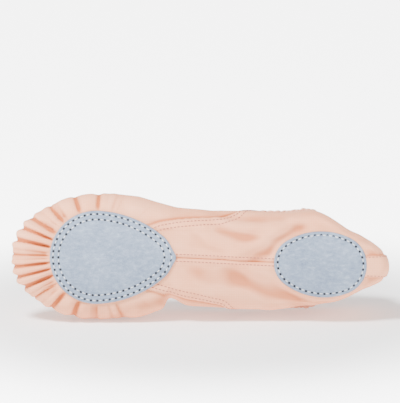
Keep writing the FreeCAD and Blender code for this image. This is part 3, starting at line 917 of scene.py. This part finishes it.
def binding_sections():
    """The tape's folded section at each column: an open hem over the cloth's edge."""
    turns = np.linspace(-2.75, 2.75, 19)
    sections = []
    for k in range(COLUMNS):
        centre = RIM[k] - RIM_OUT[k] * CANVAS_THICKNESS + RIM_UP[k] * 0.9
        points = []
        for reach, order in ((0.0, turns), (-0.55, turns[::-1])):
            for turn in order:
                swell = 1 + 0.10 * gather[k] * math.cos(turn * 0.5)
                out = (2.25 + reach) * swell * math.sin(turn)
                up = (3.6 + reach) * swell * math.cos(turn)
                points.append(centre + RIM_OUT[k] * out + RIM_UP[k] * (up + 0.15 * gather[k]))
        sections.append(points)
    return sections


binding = ribbon_object("throat_binding", binding_sections(), BINDING, closed_path=True)
bends(binding)
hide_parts("throat_binding_front", "throat_binding_rear")

CORD_RADIUS = 1.15
CORD_LIFT = 2.3
cord_sections = []
for k in range(0, COLUMNS, 2):
    centre = RIM[k] - RIM_OUT[k] * CANVAS_THICKNESS + RIM_UP[k] * CORD_LIFT
    cord_sections.append(circle(centre, CORD_RADIUS, RIM_OUT[k], RIM_UP[k], 12))
drawcord = ribbon_object("elastic_drawcord_ring", cord_sections, ELASTIC, closed_path=True)
bends(drawcord)
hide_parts("elastic_drawcord")

# ---- Suede sole patches ----


def patch_object(name, egg, rows_of_stitches, turned, tip=0.0):
    """A thick suede plate with eased edges, drawn down slightly along its stitch rows."""
    count = 420
    outline, _ = egg_outline(egg, count)
    centre = outline.mean(axis=0)
    if tip:
        near = np.exp(-((outline[:, 1] / 4.0) ** 2)) * (outline[:, 0] > centre[0])
        outline[:, 0] += tip * near
    shares = np.concatenate([np.linspace(0.0, 0.86, 40)[1:], np.linspace(0.87, 1.0, 26)])
    top, bottom = [], []
    for share in shares:
        ring = centre + (outline - centre) * share
        inside = -egg_distance(ring[:, 0], ring[:, 1], egg)
        inside = np.maximum(inside, (1 - share) * 25)
        x, w = heel_frame(ring[:, 0], ring[:, 1], turned)
        base = np.array([sole_depth(a, b) for a, b in zip(x, w)])
        edge = np.sqrt(np.clip(1 - (1 - np.clip(inside, 0, 1)) ** 2, 0, 1))
        rise = PATCH_EDGE + (PATCH_THICKNESS - PATCH_EDGE) * edge
        for row in rows_of_stitches:
            rise = rise - 0.22 * np.exp(-(((inside - row) / 0.8) ** 2))
        rise = rise + 0.16 * waves(x, base, w, 21, 26.0) + 0.05 * waves(x, base, w, 5, 5.0)
        top.append(np.stack([x, base - rise, w], -1))
        bottom.append(np.stack([x, base + 0.15, w], -1))
    return plate_object(name, top, bottom, SUEDE)


forefoot_patch = patch_object(
    "forefoot_suede_patch", FOREFOOT_EGG, FOREFOOT_ROWS, turned=False, tip=PATCH_TIP
)
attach(forefoot_patch, "forefoot")
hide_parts("forefoot_sole_patch")
heel_patch = patch_object("heel_suede_patch", HEEL_EGG, HEEL_ROWS, turned=True)
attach(heel_patch, "heel")
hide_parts("heel_sole_patch")

# ---- Stitches ----


def capsule(start, stop, outward, radius, sag=0.0, around=8, along=7):
    """One thread: a rounded bar from start to stop that dips into the cloth at both ends."""
    start, stop, outward = (np.asarray(v, float) for v in (start, stop, outward))
    heading = stop - start
    length = np.linalg.norm(heading)
    heading /= length
    across = np.cross(heading, outward)
    across /= np.linalg.norm(across)
    up = np.cross(across, heading)
    rings = []
    for j in range(along):
        t = j / (along - 1)
        girth = radius * math.sqrt(max(1 - (2 * t - 1) ** 4, 0.04))
        centre = start + heading * length * t + up * (radius * 0.4 - sag * (2 * t - 1) ** 2)
        rings.append(circle(centre, girth, across, up, around))
    return rings


def join_rings(name, parts, material):
    """Many small closed tubes as one mesh."""
    points, faces = [], []
    for rings in parts:
        rings = np.asarray(rings)
        rows, columns = rings.shape[:2]
        first = len(points)
        points.extend(rings.reshape(-1, 3))
        faces += ring_faces(rows, columns, first)
        faces.append(tuple(first + k for k in range(columns))[::-1])
        faces.append(tuple(first + (rows - 1) * columns + k for k in range(columns)))
    return mesh_object(name, points, faces, material)


def needle_hole(point, outward, radius):
    """A small dimple where the thread goes through, coloured near black as painted shade in the hole."""
    outward = np.asarray(outward, float)
    side = np.cross(outward, [1.0, 0.2, 0.1])
    side /= np.linalg.norm(side)
    other = np.cross(outward, side)
    rings = []
    for reach, lift in ((0.25, 0.03), (0.7, 0.06), (1.0, 0.05), (1.0, -0.25), (0.3, -0.3)):
        rings.append(circle(point + outward * lift, reach * radius, side, other, 10))
    return rings


HOLE_RADIUS = 0.78
PATCH_THREAD_RADIUS = 0.38
DOWN = np.array([0, -1.0, 0])


def patch_stitches(name, egg, inset, turned, body, node, tip=0.0):
    """A row of holes and threads round a patch."""
    _, around = egg_outline(egg, 4, inset)
    count = round(around / PATCH_PITCH)
    line, _ = egg_outline(egg, count * 8, inset)
    if tip:
        line[:, 0] += tip * np.exp(-((line[:, 1] / 4.0) ** 2)) * (line[:, 0] > 70)
    x, w = heel_frame(line[:, 0], line[:, 1], turned)
    level = np.array([sole_depth(a, b) for a, b in zip(x, w)]) - PATCH_THICKNESS + 0.12
    path = np.stack([x, level, w], -1)
    threads, holes = [], []
    total = len(path)
    for k in range(count):
        holes.append(needle_hole(path[k * 8], DOWN, HOLE_RADIUS))
        start, stop = path[(k * 8 + 2) % total], path[(k * 8 + 6) % total]
        threads.append(capsule(start, stop, DOWN, PATCH_THREAD_RADIUS, 0.12))
    stitches = join_rings(name, threads, PATCH_THREAD)
    dots = join_rings(f"{name}_holes", holes, NEEDLE_HOLE_SHADE)
    for piece in (stitches, dots):
        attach(piece, body)
    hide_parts(node)


for word, inset, tip in (("outer", FOREFOOT_ROWS[0], 1.2), ("inner", FOREFOOT_ROWS[1], 0.0)):
    node = f"forefoot_patch_{word}_stitches"
    patch_stitches(f"forefoot_{word}_stitches", FOREFOOT_EGG, inset, False, "forefoot", node, tip)
patch_stitches("heel_stitches", HEEL_EGG, HEEL_ROWS[0], True, "heel", "heel_patch_stitches")


SEAM_THREAD_RADIUS = 0.28
ARCH_STITCHES = 27
ARCH_START = 102.5
ARCH_GIRTH = 2.2


def seam_row(places, side):
    """Threads along a line of (distance along the foot, girth) places on the cloth."""
    threads = []
    for (x0, g0), (x1, g1) in places:
        start, outward = surface_point(x0, g0, side)
        stop, _ = surface_point(x1, g1, side)
        threads.append(capsule(start, stop, outward, SEAM_THREAD_RADIUS, 0.1))
    return threads


def arch_row(side):
    """The row beside the seam under the arch, on one side."""
    places = []
    for k in range(ARCH_STITCHES):
        x = ARCH_START + SEAM_PITCH * k
        places.append(((x + 0.35, ARCH_GIRTH), (x + 1.85, ARCH_GIRTH)))
    return seam_row(places, side)


def vamp_seam_row(side, back):
    """One row beside the vamp seam, a set distance behind it."""
    grid, girth = SEAM_LINES[side]
    line = np.stack([grid, girth], -1)[(girth > 19.2) & (girth < 66.0)]
    run = np.gradient(line, axis=0)
    run /= np.linalg.norm(run, axis=-1, keepdims=True)
    line = line + np.stack([run[:, 1], -run[:, 0]], -1) * back
    along = running_length(line)
    places = []
    for k in range(int(along[-1] / SEAM_PITCH)):
        ends = [SEAM_PITCH * k + 0.35, SEAM_PITCH * k + 1.85]
        places.append([(np.interp(e, along, line[:, 0]), np.interp(e, along, line[:, 1])) for e in ends])
    return seam_row(places, side)


for side, word in ((1, "left"), (-1, "right")):
    row = join_rings(f"arch_seam_thread_{word}", arch_row(side), SEAM_THREAD)
    bends(row)
    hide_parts(f"arch_seam_stitches_{word}")
    rows = vamp_seam_row(side, 1.9) + vamp_seam_row(side, 4.6)
    row = join_rings(f"vamp_seam_thread_{word}", rows, SEAM_THREAD)
    bends(row)
    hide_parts(f"vamp_seam_stitches_{word}")

# ---- Back strip ----

STRIP_START = 220.5
STRIP_POINTS = 23


def strip_line(j, offsets, lift):
    """Points across the back of the heel on one row of the surface, lifted off it."""
    band = np.arange(COLUMNS_A_SIDE - 60, COLUMNS_A_SIDE + 61)
    row = OUTER[j, band]
    normal = OUTER_NORMAL[j, band]
    w = row[:, 2] - centre_line(LENGTH)
    order = np.argsort(w)
    point = np.stack([np.interp(offsets, w[order], row[order, k]) for k in range(3)], -1)
    out = np.stack([np.interp(offsets, w[order], normal[order, k]) for k in range(3)], -1)
    return point + out * lift[:, None]


def strip_sections():
    """The strip's closed sections, from under the heel patch up to the throat."""
    across = np.linspace(-1, 1, STRIP_POINTS)
    sections = []
    for j in range(SOLE_ROWS - 14, OUTER.shape[0] - 1):
        if OUTER[j, COLUMNS_A_SIDE, 0] < STRIP_START:
            continue
        flare = 1.0 + 0.10 * max(j - SOLE_ROWS - EDGE_ROWS, 0) / WALL_ROWS
        offsets = across * STRIP_HALF * flare
        rim = np.sqrt(np.clip(1 - np.abs(across) ** 8, 0, 1))
        outer = strip_line(j, offsets, 0.25 + 0.75 * rim)
        inner = strip_line(j, offsets, np.full(len(across), -0.3))
        sections.append(np.concatenate([outer, inner[::-1]]))
    return sections


STRIP = strip_sections()
# Painted shade along the strip's two edges, carried to the material as its crease shade.
across = np.abs(np.linspace(-1, 1, STRIP_POINTS))
edge_shade = np.concatenate([smooth((across - 0.86) / 0.12), np.ones(STRIP_POINTS)])
back_strip = ribbon_object("heel_strip", STRIP, CANVAS, creases=np.tile(edge_shade, len(STRIP)))
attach(back_strip, "heel")
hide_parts("heel_back_strip")


def strip_threads():
    """A row of threads up each edge of the strip."""
    strip = np.asarray(STRIP)
    threads = []
    for index in (2, STRIP_POINTS - 3):
        line = strip[:, index]
        along = running_length(line)
        outward = strip[:, index] - strip[:, 2 * STRIP_POINTS - 1 - index]
        for k in range(int(along[-1] / SEAM_PITCH) - 1):
            ends = [SEAM_PITCH * k + 1.2, SEAM_PITCH * k + 2.7]
            start, stop = (np.array([np.interp(e, along, line[:, n]) for n in range(3)]) for e in ends)
            up = np.array([np.interp(ends[0], along, outward[:, n]) for n in range(3)])
            threads.append(capsule(start, stop, up / np.linalg.norm(up), 0.24, 0.1))
    return threads


strip_row = join_rings("strip_thread", strip_threads(), SEAM_THREAD)
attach(strip_row, "heel")
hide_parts("back_strip_stitches")

# ---- Insoles ----


def insole_object(name, egg, inset, low, high, turned, material, crown):
    """A soft plate with rounded edges that lies on the lining."""
    count = 240
    outline, _ = egg_outline(egg, count, inset)
    centre = outline.mean(axis=0)
    top, bottom = [], []
    for share in np.concatenate([np.linspace(0.0, 0.9, 26)[1:], np.linspace(0.92, 1.0, 12)]):
        ring = centre + (outline - centre) * share
        x, w = heel_frame(ring[:, 0], ring[:, 1], turned)
        rise = math.sqrt(max(1 - share**14, 0.0))
        level = low + (high - low) * (0.35 + 0.65 * rise) + crown * (1 - share**2)
        level = level + 0.12 * waves(x, 0 * x, w, 12, 22.0)
        top.append(np.stack([x, level, w], -1))
        bottom.append(np.stack([x, np.full(count, low), w], -1))
    return plate_object(name, top, bottom, material)


for body, egg, turned in (("forefoot", FOREFOOT_EGG, False), ("heel", HEEL_EGG, True)):
    pad = insole_object(f"{body}_foam_pad", egg, 2.0, 2.5, 5.0, turned, FOAM, 0.1)
    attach(pad, body)
    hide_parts(f"{body}_insole_pad")
    cover = insole_object(f"{body}_insole_top", egg, 1.0, 5.15, 6.0, turned, INSOLE, 0.3)
    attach(cover, body)
    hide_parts(f"{body}_insole_cover")

# ---- Crossed elastic straps ----


def rim_place(x, side):
    """The throat's edge at a distance along the foot: point, outward and up directions."""
    half = range(1, COLUMNS_A_SIDE) if side > 0 else range(COLUMNS_A_SIDE + 1, COLUMNS)
    best = min(half, key=lambda k: abs(RIM[k, 0] - x))
    return RIM[best], RIM_OUT[best], RIM_UP[best]


def spline(points, count):
    """A smooth line through points, by Catmull and Rom's rule."""
    points = np.asarray(points, float)
    padded = np.concatenate([[2 * points[0] - points[1]], points, [2 * points[-1] - points[-2]]])
    out = []
    for t in np.linspace(0, len(points) - 1 - 1e-9, count):
        k = int(t)
        f = t - k
        a, b, c, e = padded[k : k + 4]
        slope, curve, twist = c - a, 2 * a - 5 * b + 4 * c - e, 3 * b - a - 3 * c + e
        out.append(0.5 * (2 * b + slope * f + curve * f * f + twist * f**3))
    return np.array(out)


STRAP_FRONT = 141.0
STRAP_REAR = 184.0
STRAP_HALF = 8.0


def strap_object(name, front_side, extra):
    """A woven elastic band from one side in front to the other side behind."""
    start, start_out, start_up = rim_place(STRAP_FRONT, front_side)
    stop, stop_out, stop_up = rim_place(STRAP_REAR, -front_side)
    rise = -DOWN
    inside = 3.6
    path = [
        start - start_out * inside - start_up * 9.0,
        start - start_out * inside - start_up * 3.0,
        start - start_out * (inside + 0.8) + start_up * 3.5,
        start * 0.80 + stop * 0.20 + rise * (8.5 + extra),
        start * 0.5 + stop * 0.5 + rise * (11.0 + extra),
        start * 0.20 + stop * 0.80 + rise * (8.5 + extra),
        stop - stop_out * (inside + 0.8) + stop_up * 3.5,
        stop - stop_out * inside - stop_up * 3.0,
        stop - stop_out * inside - stop_up * 9.0,
    ]
    line = spline(path, 140)
    run = stop - start
    run[1] = 0
    run /= np.linalg.norm(run)
    square = np.cross(rise, run)
    square *= np.sign(square[0])
    flat = np.array([1.0, 0, 0])
    sections = []
    for k, point in enumerate(line):
        t = k / (len(line) - 1)
        middle = smooth((t - 0.12) / 0.25) * smooth((0.88 - t) / 0.25)
        width = flat * (1 - middle) + square * middle
        width /= np.linalg.norm(width)
        ahead = line[min(k + 1, len(line) - 1)] - line[max(k - 1, 0)]
        out = np.cross(width, ahead)
        out /= np.linalg.norm(out)
        ribs = np.linspace(-1, 1, 41)
        crest = 0.45 + 0.07 * np.cos(ribs * math.pi * 9) - 0.2 * np.abs(ribs) ** 12
        cup = 0.6 * middle * ribs**2
        top = [point + width * r * STRAP_HALF + out * (c - q) for r, c, q in zip(ribs, crest, cup)]
        low = [point + width * r * STRAP_HALF - out * (c + q) for r, c, q in zip(ribs, crest, cup)]
        sections.append(top + low[::-1])
    return ribbon_object(name, sections, ELASTIC), line


for name, front_side, extra in (("under", 1, 0.0), ("over", -1, 2.2)):
    strap, line = strap_object(f"cross_strap_{name}", front_side, extra)
    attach(strap, "heel")
    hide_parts(f"elastic_strap_{name}")

# ---- Floor, light and camera ----


def stage_material():
    """A pale floor that glows as a bright backdrop, ten times less near the slipper: painted shade round
    it.
    """
    material = bpy.data.materials.new("pale_floor")
    material.use_nodes = True
    shader = material.node_tree.nodes["Principled BSDF"]
    shader.inputs["Base Color"].default_value = (0.95, 0.95, 0.95, 1)
    tree = material.node_tree
    away = tree.nodes.new("ShaderNodeVectorMath")
    away.operation = "LENGTH"
    tree.links.new(tree.nodes.new("ShaderNodeTexCoord").outputs["Object"], away.inputs[0])
    glow = tree.nodes.new("ShaderNodeValToRGB")
    glow.color_ramp.interpolation = "EASE"
    # Painted shade: the glow falls to a tenth within 0.12 m of the floor's middle, where the slipper lies.
    for element, reach, grey in zip(glow.color_ramp.elements, (0.12, 0.27), (0.10, 1.0)):
        element.position = reach
        element.color = (grey, grey, grey, 1)
    tree.links.new(away.outputs["Value"], glow.inputs["Fac"])
    tree.links.new(glow.outputs["Color"], shader.inputs["Emission Color"])
    shader.inputs["Emission Strength"].default_value = 5.2
    shader.inputs["Roughness"].default_value = 0.9
    shader.inputs["Specular IOR Level"].default_value = 0.1
    return material


floor_mesh = bpy.data.meshes.new("floor")
floor_mesh.from_pydata([(-6, -6, 0), (6, -6, 0), (6, 6, 0), (-6, 6, 0)], [], [(0, 1, 2, 3)])
floor = bpy.data.objects.new("floor", floor_mesh)
bpy.context.scene.collection.objects.link(floor)
floor.data.materials.append(stage_material())

world = bpy.data.worlds.new("studio")
bpy.context.scene.world = world
world.use_nodes = True
world.node_tree.nodes["Background"].inputs["Color"].default_value = (1, 1, 1, 1)
world.node_tree.nodes["Background"].inputs["Strength"].default_value = 0.66


def area_light(name, spot, width, power):
    """A square light that points at the slipper."""
    target = Vector((0, 0, 0.04))
    light = bpy.data.lights.new(name, "AREA")
    light.size = width
    light.energy = power
    lamp = bpy.data.objects.new(name, light)
    lamp.location = spot
    lamp.rotation_euler = (target - Vector(spot)).to_track_quat("-Z", "Y").to_euler()
    bpy.context.scene.collection.objects.link(lamp)


area_light("top_softbox", (-0.45, -0.38, 1.0), 0.3, 31.0)
area_light("front_fill", (0.5, -1.2, 0.5), 0.8, 5.0)

ELEVATION = math.radians(12.0)
DISTANCE = 3.0
SENSOR = 36.0
SEEN_WIDTH = 0.2502
camera_data = bpy.data.cameras.new("camera")
camera_data.sensor_width = SENSOR
camera_data.lens = SENSOR * DISTANCE / SEEN_WIDTH
camera = bpy.data.objects.new("camera", camera_data)
target = Vector((0.0, hinge_pos[1], 0.0770))
camera.location = target + DISTANCE * Vector((0, -math.cos(ELEVATION), math.sin(ELEVATION)))
camera.rotation_euler = (target - camera.location).to_track_quat("-Z", "Y").to_euler()
bpy.context.scene.collection.objects.link(camera)
bpy.context.scene.camera = camera

bpy.context.view_layer.update()
